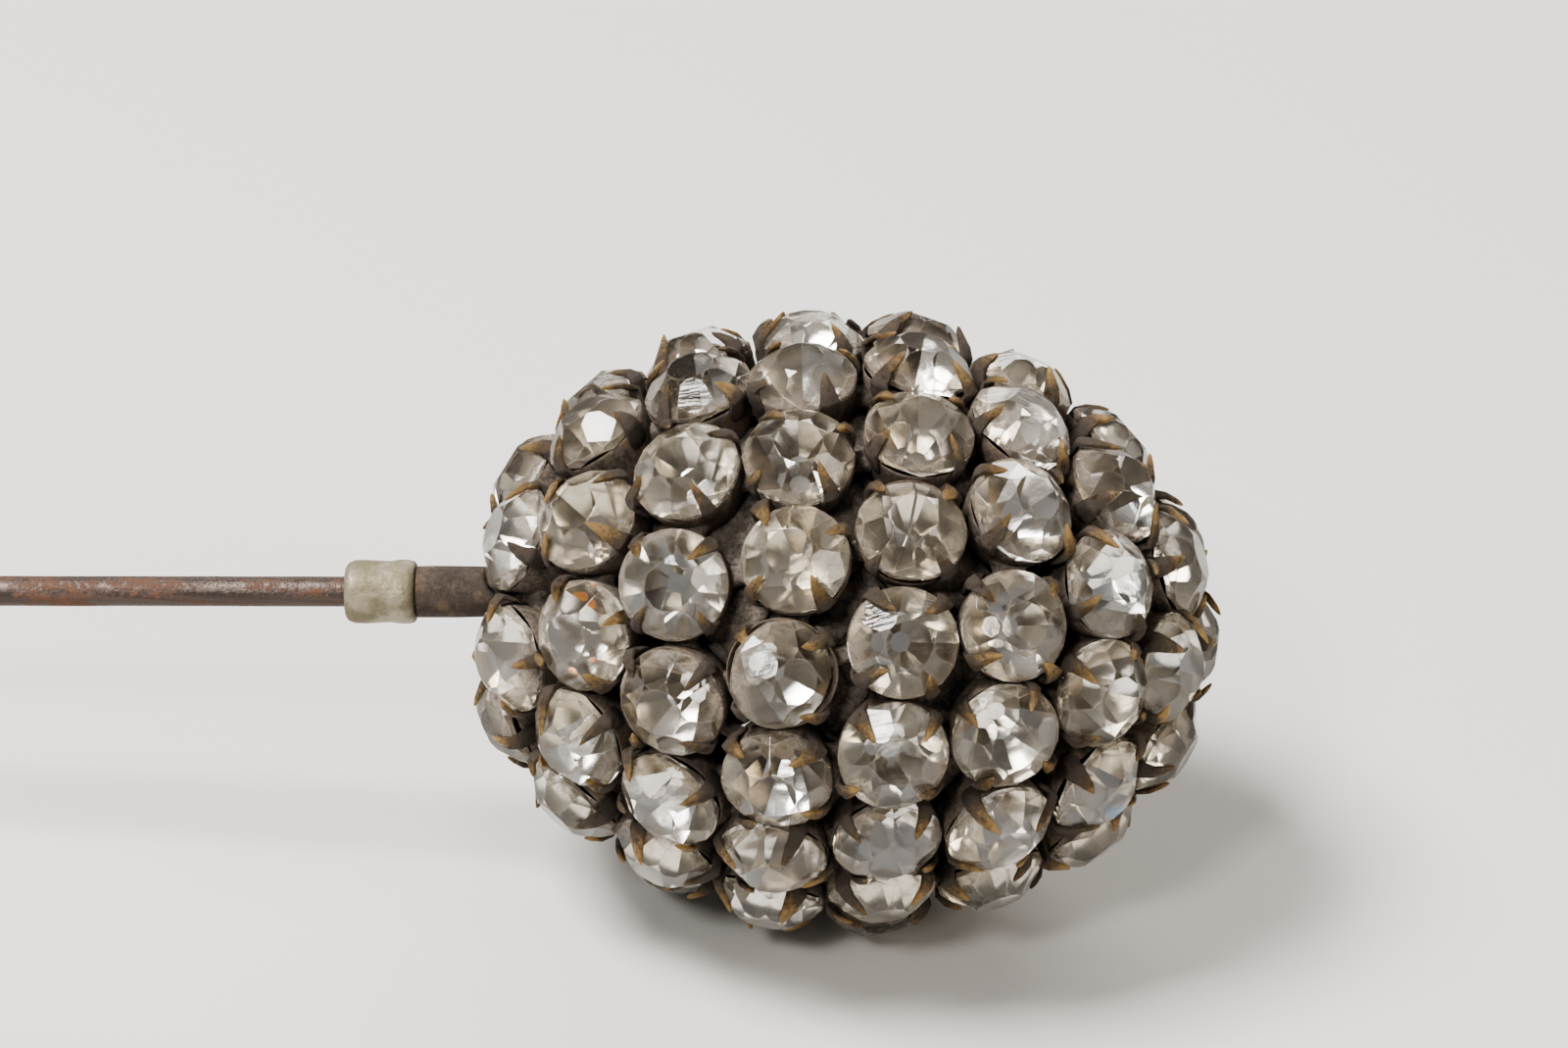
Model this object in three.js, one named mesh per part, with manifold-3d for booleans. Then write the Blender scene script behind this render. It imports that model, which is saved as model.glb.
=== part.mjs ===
// Hat pin: an openwork egg of claw-set glass stones on a long steel stem, lying at rest on a table.
//
// Millimetres, +Z up. The head's axis lies level along X, with 0 at the middle of the head and the stem
// towards -X. The stem is bent down at the dish behind the head until its point comes to the table that
// the head lies on, at z = 0. The origin is shifted to lie under the middle of the pin's box.
//
// The head is built as a jeweller builds it: stamped cups with four claws are soldered side by side into
// rows, the rows close into a hollow egg, and the row nearest the stem is soldered to a dish with a neck
// tube, which holds the stem.
import * as THREE from "three";
import { mergeVertices } from "three/addons/utils/BufferGeometryUtils.js";
import Module from "manifold-3d";

const wasm = await Module();
wasm.setup();

// ---- Driving dimensions --------------------------------------------------------------------------------

// The girdles (widest edges) of the stones lie on this ellipsoid.
const HEAD_HALF_LENGTH = 12.9;
const HEAD_HALF_WIDTH = 10.3;

// Rows are counted from the tip stone, row 0, back to the stem. The pitch is measured along the surface.
const ROW_PITCH = 4.01;
const STONE_PITCH = 3.9;
// Where the first stone of each row lies, in degrees round the pin from its front (-Y) towards its top.
const ROW_TURNS = [0, 16.8, 13.5, 32, 26, 18.6, 9.7, 21.4, -0.9];
// A row of up to this many stones keeps each stone as a mesh of its own.
const MOST_SEPARATE_STONES = 11;

const STONE = { radius: 2.08, sides: 8, table: 0.85, crown: 1.05, pavilion: 1.6 };
const CUP = { rim: 2.04, foot: 1.36, rimLevel: -0.2, footLevel: -2.1, seat: 1.91 };
const CLAW_WIDTH = 0.56;
const CLAW_COUNT = 4;
const SOLDER = { length: 1.0, width: 1.1, height: 0.8, level: -1.0 };
const GIRDLE_TAB = { length: 0.7, width: 0.34, height: 0.16 };

const PIN_LENGTH = 178;
const STEM = { radius: 0.55, taper: 9, point: 0.06, sides: 12 };
const NECK = { radius: 0.95, reach: 2.3, rise: 0.35 };
const COLLAR = { radius: 1.17, length: 2.7, bevel: 0.2 };
const DISH = { thickness: 0.35, lip: 0.9 };
const BORE_CLEARANCE = 0.08;
const GAP = 0.12;
const ROUND_SIDES = 16;

// ---- Materials -----------------------------------------------------------------------------------------

const metal = (color, roughness) =>
  new THREE.MeshStandardMaterial({ color, roughness, metalness: 1 });
const MATERIALS = {
  steel: metal(0x6d625c, 0.45),
  collar: metal(0x9a9272, 0.5),
  brass: metal(0x6b4f2c, 0.42),
  dullBrass: metal(0x4a3c30, 0.6),
  glass: new THREE.MeshStandardMaterial({ color: 0xcfcac0, roughness: 0.05, metalness: 0 }),
};

// ---- Solids --------------------------------------------------------------------------------------------

// A closed three.js geometry as a manifold-3d solid.
function solid(geometry) {
  const bare = geometry.index ? geometry.toNonIndexed() : geometry.clone();
  bare.deleteAttribute("normal");
  bare.deleteAttribute("uv");
  const merged = mergeVertices(bare, 1e-4);
  return new wasm.Manifold(
    new wasm.Mesh({
      numProp: 3,
      vertProperties: merged.attributes.position.array,
      triVerts: new Uint32Array(merged.index.array),
    }),
  );
}

const moved = (shape, matrix) => shape.transform(matrix.elements);
const joined = (shapes) => shapes.reduce((whole, shape) => whole.add(shape));

// A manifold-3d solid as a named mesh.
function meshOf(name, shape, material) {
  const { numProp, vertProperties, triVerts } = shape.getMesh();
  const points = [];
  for (let i = 0; i < vertProperties.length; i += numProp) points.push(...vertProperties.slice(i, i + 3));
  const geometry = new THREE.BufferGeometry();
  geometry.setAttribute("position", new THREE.Float32BufferAttribute(points, 3));
  geometry.setIndex([...triVerts]);
  geometry.computeVertexNormals();
  const mesh = new THREE.Mesh(geometry, material);
  mesh.name = name;
  return mesh;
}

// Turns an outline of [along the pin, radius] points about the pin's axis.
function turned(outline, sides) {
  const points = outline.map(([along, radius]) => new THREE.Vector2(radius, along));
  return solid(new THREE.LatheGeometry(points, sides).rotateZ(-Math.PI / 2));
}

// Turns an outline of [level, radius] points about Z, with the middle of a side on the X axis.
function upright(outline, sides) {
  const points = outline.map(([level, radius]) => new THREE.Vector2(radius, level));
  return solid(new THREE.LatheGeometry(points, sides, Math.PI / sides).rotateX(Math.PI / 2));
}

// ---- The rows of the head ------------------------------------------------------------------------------

// The place on the girdle ellipse this far along it from its tip. `lean` is the angle between the pin's
// axis and the outward direction there.
function ellipseAt(arc) {
  const step = 0.0005;
  let angle = 0;
  for (let done = 0; done < arc; angle += step)
    done += step * Math.hypot(HEAD_HALF_LENGTH * Math.sin(angle), HEAD_HALF_WIDTH * Math.cos(angle));
  return {
    along: HEAD_HALF_LENGTH * Math.cos(angle),
    radius: HEAD_HALF_WIDTH * Math.sin(angle),
    lean: Math.atan2(Math.sin(angle) / HEAD_HALF_WIDTH, Math.cos(angle) / HEAD_HALF_LENGTH),
  };
}

const ROWS = ROW_TURNS.map((turn, index) => {
  const place = ellipseAt(index * ROW_PITCH);
  const count = index === 0 ? 1 : Math.floor((2 * Math.PI * place.radius) / STONE_PITCH);
  return { ...place, index, count, turn: THREE.MathUtils.degToRad(turn) };
});
const LAST_ROW = ROWS.at(-1);

// Places a setting that is drawn about Z, with its girdle at z = 0: Z points out of the egg and X runs
// round the row. `step` counts settings round the row and may be a fraction.
function settingMatrix(row, step) {
  const round = row.turn + (step * 2 * Math.PI) / row.count;
  const outward = new THREE.Vector3(
    Math.cos(row.lean),
    -Math.sin(row.lean) * Math.cos(round),
    Math.sin(row.lean) * Math.sin(round),
  );
  const sideways = new THREE.Vector3(0, Math.sin(round), Math.cos(round));
  const across = new THREE.Vector3().crossVectors(outward, sideways);
  return new THREE.Matrix4()
    .makeBasis(sideways, across, outward)
    .setPosition(row.along, -row.radius * Math.cos(round), row.radius * Math.sin(round));
}

const stepsOf = (row) => Array.from({ length: row.count }, (_, step) => step);

// ---- Cups and claws ------------------------------------------------------------------------------------

// A claw rises outside the girdle and folds in over the crown. Its outline is [radius, level].
function claw(turn) {
  const outline = [
    [1.56, -0.62],
    [2.12, 0],
    [1.3, 0.68],
    [1.975, 0.02],
  ];
  const [foot, tip] = [outline[0][1], outline[2][1]];
  const shape = new THREE.Shape(outline.map(([radius, level]) => new THREE.Vector2(radius, level)));
  const geometry = new THREE.ExtrudeGeometry(shape, { depth: CLAW_WIDTH, bevelEnabled: false });
  geometry.translate(0, 0, -CLAW_WIDTH / 2);
  const position = geometry.attributes.position;
  for (let i = 0; i < position.count; i++) {
    const rise = (position.getY(i) - foot) / (tip - foot);
    position.setZ(i, position.getZ(i) * (1 - 0.7 * rise));
  }
  return solid(geometry.rotateX(Math.PI / 2).rotateZ(turn));
}

function cup() {
  const wall = upright(
    [
      [CUP.footLevel, 0],
      [CUP.footLevel, CUP.foot],
      [CUP.rimLevel, CUP.rim],
      [CUP.rimLevel, 0],
    ],
    STONE.sides,
  );
  const seatDepth = (CUP.seat * STONE.pavilion) / STONE.radius;
  const seat = upright(
    [
      [CUP.rimLevel - seatDepth, 0],
      [CUP.rimLevel, CUP.seat],
      [CUP.rimLevel + GAP, CUP.seat],
      [CUP.rimLevel + GAP, 0],
    ],
    STONE.sides,
  );
  const claws = Array.from({ length: CLAW_COUNT }, (_, i) => claw(((i + 0.5) * 2 * Math.PI) / CLAW_COUNT));
  return joined([wall.subtract(seat), ...claws]);
}

// A lump of solder between two neighbours of one row.
function solderLump(row, step) {
  const box = new THREE.BoxGeometry(SOLDER.length, SOLDER.width, SOLDER.height);
  return moved(solid(box.translate(0, 0, SOLDER.level)), settingMatrix(row, step + 0.5));
}

function cupRow(row) {
  const one = cup();
  const cups = stepsOf(row).map((step) => moved(one, settingMatrix(row, step)));
  const lumps = row.count > 1 ? stepsOf(row).map((step) => solderLump(row, step)) : [];
  return joined([...cups, ...lumps]);
}

// ---- Stones --------------------------------------------------------------------------------------------

function stone() {
  return upright(
    [
      [-STONE.pavilion, 0],
      [0, STONE.radius],
      [STONE.crown, STONE.table],
      [STONE.crown, 0],
    ],
    STONE.sides,
  );
}

// The wide rows have too many stones for a mesh each, so small tabs join their stones at the girdle.
function stoneRow(row) {
  const one = stone();
  const stones = stepsOf(row).map((step) => moved(one, settingMatrix(row, step)));
  const tabs = stepsOf(row).map((step) => {
    const edge = STONE.radius * Math.cos(Math.PI / STONE.sides);
    const here = new THREE.Vector3(edge, 0, 0).applyMatrix4(settingMatrix(row, step));
    const next = new THREE.Vector3(-edge, 0, 0).applyMatrix4(settingMatrix(row, step + 1));
    const box = new THREE.BoxGeometry(GIRDLE_TAB.length, GIRDLE_TAB.width, GIRDLE_TAB.height);
    return moved(solid(box), settingMatrix(row, step + 0.5).setPosition(here.lerp(next, 0.5)));
  });
  return joined([...stones, ...tabs]);
}

function stoneMeshes(row) {
  if (row.index === 0) return [meshOf("tip_stone", moved(stone(), settingMatrix(row, 0)), MATERIALS.glass)];
  if (row.count > MOST_SEPARATE_STONES)
    return [meshOf(`stones_row_${row.index}`, stoneRow(row), MATERIALS.glass)];
  return stepsOf(row).map((step) =>
    meshOf(
      `stone_row_${row.index}_${step + 1}`,
      moved(stone(), settingMatrix(row, step)),
      MATERIALS.glass,
    ),
  );
}

// ---- Dish, neck, collar and stem -----------------------------------------------------------------------

// The dish is a cone that lies just inside the feet of the last row's cups. The neck is soldered a little
// above the head's axis, and the dish lies around it.
const DISH_REACH = Math.abs(CUP.footLevel) + GAP + NECK.rise;
const FOOT_CENTRE = {
  along: LAST_ROW.along - DISH_REACH * Math.cos(LAST_ROW.lean),
  radius: LAST_ROW.radius - DISH_REACH * Math.sin(LAST_ROW.lean),
};
const DISH_SLOPE = -Math.sin(LAST_ROW.lean) / Math.cos(LAST_ROW.lean);
const dishAlong = (radius) => FOOT_CENTRE.along + (radius - FOOT_CENTRE.radius) * DISH_SLOPE;

const HEAD_BACK =
  LAST_ROW.along + STONE.crown * Math.cos(LAST_ROW.lean) - STONE.table * Math.sin(LAST_ROW.lean);
const NECK_END = HEAD_BACK - NECK.reach;
const COLLAR_END = NECK_END - COLLAR.length;
const HEAD_FRONT = HEAD_HALF_LENGTH + STONE.crown;
const POINT_END = HEAD_FRONT - PIN_LENGTH;
const STEM_BORE = STEM.radius + BORE_CLEARANCE;
const NECK_INNER_END = dishAlong(NECK.radius);
const DISH_CENTRE = NECK_INNER_END + DISH.thickness / 2;

function dish() {
  const inner = NECK.radius + BORE_CLEARANCE;
  const outer = FOOT_CENTRE.radius + DISH.lip;
  return turned(
    [
      [dishAlong(inner), inner],
      [dishAlong(outer), outer],
      [dishAlong(outer) + DISH.thickness, outer],
      [dishAlong(inner) + DISH.thickness, inner],
      [dishAlong(inner), inner],
    ],
    ROUND_SIDES,
  );
}

function neckTube() {
  return turned(
    [
      [NECK_END, STEM_BORE],
      [NECK_END, NECK.radius],
      [NECK_INNER_END + DISH.thickness, NECK.radius],
      [NECK_INNER_END + DISH.thickness, STEM_BORE],
      [NECK_END, STEM_BORE],
    ],
    ROUND_SIDES,
  );
}

function collar() {
  const [back, front] = [COLLAR_END, NECK_END - GAP];
  return turned(
    [
      [back, STEM_BORE],
      [back, COLLAR.radius - COLLAR.bevel],
      [back + COLLAR.bevel, COLLAR.radius],
      [front - COLLAR.bevel, COLLAR.radius],
      [front, COLLAR.radius - COLLAR.bevel],
      [front, STEM_BORE],
      [back, STEM_BORE],
    ],
    ROUND_SIDES,
  );
}

function stem() {
  return turned(
    [
      [POINT_END, 0],
      [POINT_END, STEM.point],
      [POINT_END + STEM.taper * 0.4, STEM.radius * 0.66],
      [POINT_END + STEM.taper, STEM.radius],
      [NECK_INNER_END, STEM.radius],
      [NECK_INNER_END, 0],
    ],
    STEM.sides,
  );
}

// ---- The pin as it lies on the table -------------------------------------------------------------------

const head = new THREE.Group();
head.add(meshOf("base_dish", dish().translate([0, 0, NECK.rise]), MATERIALS.dullBrass));
for (const row of ROWS) {
  const name = row.index === 0 ? "tip_cup" : `cups_row_${row.index}`;
  head.add(meshOf(name, cupRow(row), MATERIALS.brass), ...stoneMeshes(row));
}

const stemGroup = new THREE.Group();
stemGroup.add(
  meshOf("stem", stem(), MATERIALS.steel),
  meshOf("collar", collar(), MATERIALS.collar),
  meshOf("neck_tube", neckTube(), MATERIALS.dullBrass),
);

// The stem turns down about the hole in the dish until the point is as low as the head.
const headDrop = -new THREE.Box3().setFromObject(head, true).min.z;
const BEND = Math.asin((headDrop + NECK.rise - STEM.point) / (DISH_CENTRE - POINT_END));
for (const piece of stemGroup.children) piece.geometry.translate(-DISH_CENTRE, 0, 0);
stemGroup.position.set(DISH_CENTRE, 0, NECK.rise);
stemGroup.rotation.y = -BEND;

const hatPin = new THREE.Group();
hatPin.add(head, stemGroup);
const box = new THREE.Box3().setFromObject(hatPin, true);
const middle = box.getCenter(new THREE.Vector3());
hatPin.position.set(-middle.x, -middle.y, -box.min.z);

export default hatPin;
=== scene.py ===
# %% [markdown]
# # A hat pin with an openwork head of glass stones
# The head of this old hat pin is a hollow egg. A jeweller stamped about a hundred small brass cups with four
# claws each, folded the claws over a foiled glass stone, soldered the cups into rings and closed the rings into
# an egg. A dish at its base holds a neck tube, a collar and the long steel stem.
#
# The solid model of the pin is already measured and packed. Loading it first gives every later piece its place,
# so nothing here has to be fitted by eye.

# %% Load the measured frame
import math
import random

import bmesh
import bpy
from mathutils import Matrix, Vector, noise


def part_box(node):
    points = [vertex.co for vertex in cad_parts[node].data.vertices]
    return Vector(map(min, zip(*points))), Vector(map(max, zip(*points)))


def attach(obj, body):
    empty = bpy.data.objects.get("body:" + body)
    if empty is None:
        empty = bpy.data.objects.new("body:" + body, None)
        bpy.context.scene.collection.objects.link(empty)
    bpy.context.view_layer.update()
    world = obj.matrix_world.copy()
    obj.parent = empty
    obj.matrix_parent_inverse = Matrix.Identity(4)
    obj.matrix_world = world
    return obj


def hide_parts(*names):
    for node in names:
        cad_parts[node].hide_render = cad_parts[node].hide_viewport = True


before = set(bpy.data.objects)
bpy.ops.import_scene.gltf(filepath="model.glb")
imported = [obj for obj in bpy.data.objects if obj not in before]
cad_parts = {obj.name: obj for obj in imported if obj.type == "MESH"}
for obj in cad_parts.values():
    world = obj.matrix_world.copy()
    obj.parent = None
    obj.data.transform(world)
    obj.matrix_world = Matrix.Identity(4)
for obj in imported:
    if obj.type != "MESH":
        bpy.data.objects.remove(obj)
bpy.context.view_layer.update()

# %% [markdown]
# ## Shader maths as sums
# A worn surface is a sum of small effects: grime where fingers don't reach, bright metal where they do. In the
# node editor each sum is a chain of Math nodes. Here a small class wraps a node's output and gives it the
# operators of a number, so `1 - grime` adds its own Math node and the recipe of a finish reads as a formula.
# Every other node comes from one method, which takes the node's type, its settings and its inputs.


# %% A value that can be added up
class Value:
    """One output of a node, written with the operators of a number."""

    def __init__(self, finish, socket):
        self.finish = finish
        self.socket = socket

    def math(self, operation, first, second=0.0):
        return self.finish.node("Math", {"operation": operation}, {0: first, 1: second})

    def __add__(self, other):
        return self.math("ADD", self, other)

    def __sub__(self, other):
        return self.math("SUBTRACT", self, other)

    def __rsub__(self, other):
        return self.math("SUBTRACT", other, self)

    def __mul__(self, other):
        return self.math("MULTIPLY", self, other)

    __radd__ = __add__
    __rmul__ = __mul__


print("a value can be added, subtracted and multiplied")

# %% A finish that makes nodes
# Places of the two colours among a Mix node's inputs, and of the colour among its outputs.
FIRST_COLOR, SECOND_COLOR, COLOR_RESULT = 6, 7, 2


class Finish:
    """A material that is being made."""

    def __init__(self, name):
        self.material = bpy.data.materials.new(name)
        self.material.use_nodes = True
        self.nodes = self.material.node_tree.nodes
        self.links = self.material.node_tree.links
        self.nodes.clear()

    def node(self, kind, settings=None, inputs=None, output=0):
        node = self.nodes.new("ShaderNode" + kind)
        for name, setting in (settings or {}).items():
            if name == "stops":
                self.set_stops(node.color_ramp.elements, setting)
            else:
                setattr(node, name, setting)
        for name, given in (inputs or {}).items():
            if isinstance(given, Value):
                self.links.new(given.socket, node.inputs[name])
            else:
                node.inputs[name].default_value = given
        return Value(self, node.outputs[output])

    def set_stops(self, elements, stops):
        while len(elements) < len(stops):
            elements.new(1.0)
        for element, (position, color) in zip(elements, stops):
            element.position = position
            element.color = (*color, 1.0)

    def place(self):
        return self.node("TexCoord", output="Object")

    def noise(self, size, detail=3.0, roughness=0.55, stretch=(1, 1, 1)):
        """Cloudy noise from 0 to 1, with lumps of about this size in metres."""
        scale = tuple(1.0 / (size * side) for side in stretch)
        spot = self.node("Mapping", {}, {"Vector": self.place(), "Scale": scale})
        inputs = {"Vector": spot, "Scale": 1.0, "Detail": detail, "Roughness": roughness}
        return self.node("TexNoise", {}, inputs)

    def step(self, value, low, high):
        """0 below low, 1 above high, and a soft step between them."""
        settings = {"interpolation_type": "SMOOTHSTEP"}
        return self.node("MapRange", settings, {"Value": value, "From Min": low, "From Max": high})

    def ramp(self, value, stops):
        return self.node("ValToRGB", {"stops": stops}, {"Fac": value})

    def painted(self, name):
        """A number that the mesh carries on its points or faces."""
        return self.node("Attribute", {"attribute_name": name}, output="Fac")

    def mixed(self, under, over, amount):
        """One colour laid over another."""
        colors = [tone if isinstance(tone, Value) else (*tone, 1.0) for tone in (under, over)]
        inputs = {"Factor": amount, FIRST_COLOR: colors[0], SECOND_COLOR: colors[1]}
        return self.node("Mix", {"data_type": "RGBA"}, inputs, output=COLOR_RESULT)

    def bump(self, height, depth, strength=1.0):
        return self.node("Bump", {}, {"Height": height, "Distance": depth, "Strength": strength})

    def surface(self, **inputs):
        """The shader itself. Its inputs are named as in the node editor, in small letters."""
        named = {name.replace("_", " ").title().replace("Ior", "IOR"): given for name, given in inputs.items()}
        colored = {name: self.as_color(name, given) for name, given in named.items()}
        return self.node("BsdfPrincipled", {}, colored)

    def as_color(self, name, given):
        return (*given, 1.0) if name.endswith("Color") and not isinstance(given, Value) else given

    def done(self, shader):
        output = self.nodes.new("ShaderNodeOutputMaterial")
        self.links.new(shader.socket, output.inputs["Surface"])
        return self.material


print("a finish can make:", [name for name in vars(Finish) if not name.startswith("_")])

# %% [markdown]
# ## The floor, the lights and the camera
# Faceted glass shows its surroundings more than itself. A stone lit from everywhere looks like chalk, so the
# room around the pin is dim and four soft boxes stand in it: a large one high at the left, a small one in front,
# a warm one lower at the right, and a strip behind. Each facet then finds either a bright box or a dark wall.
#
# The long lens stands close to the head, looks down at it by some thirty degrees and leans a little, so the
# pin's axis falls to the right.

# %% Where the head is
MM = 0.001
MIDDLE_TO_TIP = 13.95 * MM
tip_low, tip_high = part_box("tip_stone")
HEAD = Vector((tip_high.x - MIDDLE_TO_TIP, 0.0, (tip_low.z + tip_high.z) / 2))
print("middle of the head:", [round(part, 5) for part in HEAD])

# %% Floor
FLOOR_HALF_SIDE = 2.5
FLOOR_GAP = 0.00002
PALE_PAPER = (0.62, 0.61, 0.59)

floor_mesh = bmesh.new()
bmesh.ops.create_grid(floor_mesh, x_segments=2, y_segments=2, size=FLOOR_HALF_SIDE)
floor_data = bpy.data.meshes.new("floor")
floor_mesh.to_mesh(floor_data)
floor_mesh.free()
floor = bpy.data.objects.new("floor", floor_data)
bpy.context.scene.collection.objects.link(floor)
floor.location.z = -FLOOR_GAP

paper = Finish("pale_paper")
floor.data.materials.append(paper.done(paper.surface(base_color=PALE_PAPER, roughness=0.85)))
print("floor laid")

# %% Soft boxes and the dim room
# Each box: its name, its place from the head and its size in metres, its watts and its colour.
SOFT_BOXES = [
    ("high_left_box", (-0.22, -0.09, 0.42), (0.20, 0.15), 4.6, (1.0, 0.985, 0.96)),
    ("front_box", (-0.15, -0.37, 0.33), (0.07, 0.07), 1.1, (1.0, 0.98, 0.95)),
    ("right_box", (0.40, -0.22, 0.24), (0.14, 0.20), 0.8, (1.0, 0.90, 0.76)),
    ("back_strip", (0.05, 0.46, 0.30), (0.50, 0.10), 1.8, (1.0, 0.97, 0.92)),
]
ROOM_COLOR = (0.95, 0.96, 1.0, 1.0)
ROOM_STRENGTH = 0.17


def soft_box(name, spot, size, watts, color):
    light = bpy.data.lights.new(name, "AREA")
    light.shape = "RECTANGLE"
    light.size, light.size_y = size
    light.energy = watts
    light.color = color
    lamp = bpy.data.objects.new(name, light)
    lamp.location = HEAD + Vector(spot)
    lamp.rotation_euler = (HEAD - lamp.location).to_track_quat("-Z", "Y").to_euler()
    bpy.context.scene.collection.objects.link(lamp)


for box in SOFT_BOXES:
    soft_box(*box)

world = bpy.data.worlds.new("dim_room")
world.use_nodes = True
background = world.node_tree.nodes["Background"]
background.inputs["Color"].default_value = ROOM_COLOR
background.inputs["Strength"].default_value = ROOM_STRENGTH
bpy.context.scene.world = world
bpy.context.scene.view_settings.view_transform = "AgX"
bpy.context.scene.view_settings.look = "AgX - Medium High Contrast"

# %% Camera
CAMERA_DISTANCE = 0.2037
CAMERA_HEIGHT_ANGLE = math.radians(29.1)
CAMERA_SIDE_ANGLE = math.radians(0.75)
CAMERA_ROLL = math.radians(3.5)
SENSOR_WIDTH = 36.0
FOCAL_LENGTH = 128.0
# The picture as a grid of steps, and the step, from its top left corner, where the middle of the head lies.
FRAME_WIDTH, FRAME_HEIGHT = 1600, 1069
HEAD_IN_FRAME = (856, 632)

lens = bpy.data.cameras.new("long_lens")
lens.sensor_width = SENSOR_WIDTH
lens.lens = FOCAL_LENGTH
lens.clip_start, lens.clip_end = 0.01, 10.0
camera = bpy.data.objects.new("camera", lens)
bpy.context.scene.collection.objects.link(camera)
bpy.context.scene.camera = camera

look_down = Matrix.Rotation(math.pi / 2 - CAMERA_HEIGHT_ANGLE, 4, "X") @ Matrix.Rotation(CAMERA_ROLL, 4, "Z")
look_at_head = Matrix.Rotation(CAMERA_SIDE_ANGLE, 4, "Z") @ look_down
per_step = CAMERA_DISTANCE * lens.sensor_width / lens.lens / FRAME_WIDTH
aside = (FRAME_WIDTH / 2 - HEAD_IN_FRAME[0]) * per_step
above = (HEAD_IN_FRAME[1] - FRAME_HEIGHT / 2) * per_step
back_off = Matrix.Translation((aside, above, CAMERA_DISTANCE))
camera.matrix_world = Matrix.Translation(HEAD) @ look_at_head @ back_off
print("camera at", [round(part, 4) for part in camera.matrix_world.translation])

# %% [markdown]
# ## The lattice of rings
# The widest edges of the stones lie on an egg, and the rings are evenly spaced along its surface. Walking along
# the outline in tiny steps finds each ring. A setting is modelled once, lying at the origin and looking up, and
# one matrix per stone carries it to its place, so this cell is the only one that knows where the stones sit.

# %% Rings and settings
# The egg's two half-lengths, the spacing of the rings and the spacing of the stones in a ring, in mm.
HEAD_HALF_LENGTH = 12.9
HEAD_HALF_WIDTH = 10.3
RING_PITCH = 4.01
STONE_PITCH = 3.9
# How far each ring is turned about the pin, in degrees, from the tip on.
RING_TURNS = [0, 16.8, 13.5, 32, 26, 18.6, 9.7, 21.4, -0.9]
# How far, in mm, and by how many degrees the hand that soldered a cup was out.
HAND_ASIDE, HAND_UP, HAND_TIP = 0.06, 0.05, 2.5

hand = random.Random(7)


def hand_wobble():
    """Where the hand that soldered a cup left it: a little aside and a little tipped."""
    spot = (hand.gauss(0, HAND_ASIDE), hand.gauss(0, HAND_ASIDE), hand.gauss(0, HAND_UP))
    tip = Matrix.Rotation(math.radians(hand.gauss(0, HAND_TIP)), 4, "X")
    return Matrix.Translation(spot) @ tip @ Matrix.Rotation(math.radians(hand.gauss(0, HAND_TIP)), 4, "Y")


class Ring:
    """One ring of stones round the pin's axis, counted from the stone at the tip."""

    def __init__(self, index, turn):
        angle = self.angle_at(index * RING_PITCH)
        self.index = index
        self.turn = math.radians(turn)
        self.along = HEAD_HALF_LENGTH * math.cos(angle)
        self.radius = HEAD_HALF_WIDTH * math.sin(angle)
        self.lean = math.atan2(math.sin(angle) / HEAD_HALF_WIDTH, math.cos(angle) / HEAD_HALF_LENGTH)
        self.count = max(1, int(2 * math.pi * self.radius / STONE_PITCH))
        self.wobbles = [hand_wobble() for _ in range(self.count)]

    def angle_at(self, arc, step=0.0005):
        """The angle that is reached by walking this far, in mm, along the egg's outline from the tip."""
        angle = 0.0
        while arc > 0:
            arc -= step * math.hypot(HEAD_HALF_LENGTH * math.sin(angle), HEAD_HALF_WIDTH * math.cos(angle))
            angle += step
        return angle

    def setting(self, step):
        """The matrix that carries a setting, in mm, from the origin to its place in the head, in metres."""
        round_pin = self.turn + step * 2 * math.pi / self.count
        outward = Vector((
            math.cos(self.lean),
            -math.sin(self.lean) * math.cos(round_pin),
            math.sin(self.lean) * math.sin(round_pin),
        ))
        sideways = Vector((0.0, math.sin(round_pin), math.cos(round_pin)))
        across = outward.cross(sideways)
        spot = Vector((self.along, -self.radius * math.cos(round_pin), self.radius * math.sin(round_pin)))
        facing = Matrix((sideways, across, outward)).transposed().to_4x4()
        wobble = self.wobbles[step % self.count]
        return Matrix.Translation(HEAD + spot * MM) @ facing @ Matrix.Scale(MM, 4) @ wobble


rings = [Ring(index, turn) for index, turn in enumerate(RING_TURNS)]
print("stones in each ring:", [ring.count for ring in rings], "in all:", sum(ring.count for ring in rings))

# %% [markdown]
# ## The stones
# Each stone is pressed glass with a small eight-sided table, eight broad crown facets, small triangles round its
# edge and a pointed back, which is painted with foil. A mesh of such a stone could be typed in point by point,
# but it is easier to cut it as a lapidary does. A round blank is laid against one flat lap after another:
# `bisect_plane` takes off what lies outside each plane and `holes_fill` closes the cut with a facet.

# %% Cut one stone
GIRDLE = 1.98
TABLE_LEVEL = 1.06
CULET_LEVEL = -1.52
BLANK_SIDES = 32
# Each set of facets: how many, the first one's turn and their tilt in degrees, and a radius and a level, in mm,
# that they pass through.
BROAD_CROWN = (8, 0.0, 41.0, 1.92, 0.14)
ROUND_THE_TABLE = (8, 22.5, 27.0, 0.83, TABLE_LEVEL)
ALONG_THE_EDGE = (16, 11.25, 53.0, 1.93, 0.10)
POINTED_BACK = (8, 22.5, 139.0, 1.96, -0.12)
# Points closer than these, in mm, are one point: in a clean cut, and among slivers left by many cuts.
TOUCHING = 1e-5
SLIVER = 0.004


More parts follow.
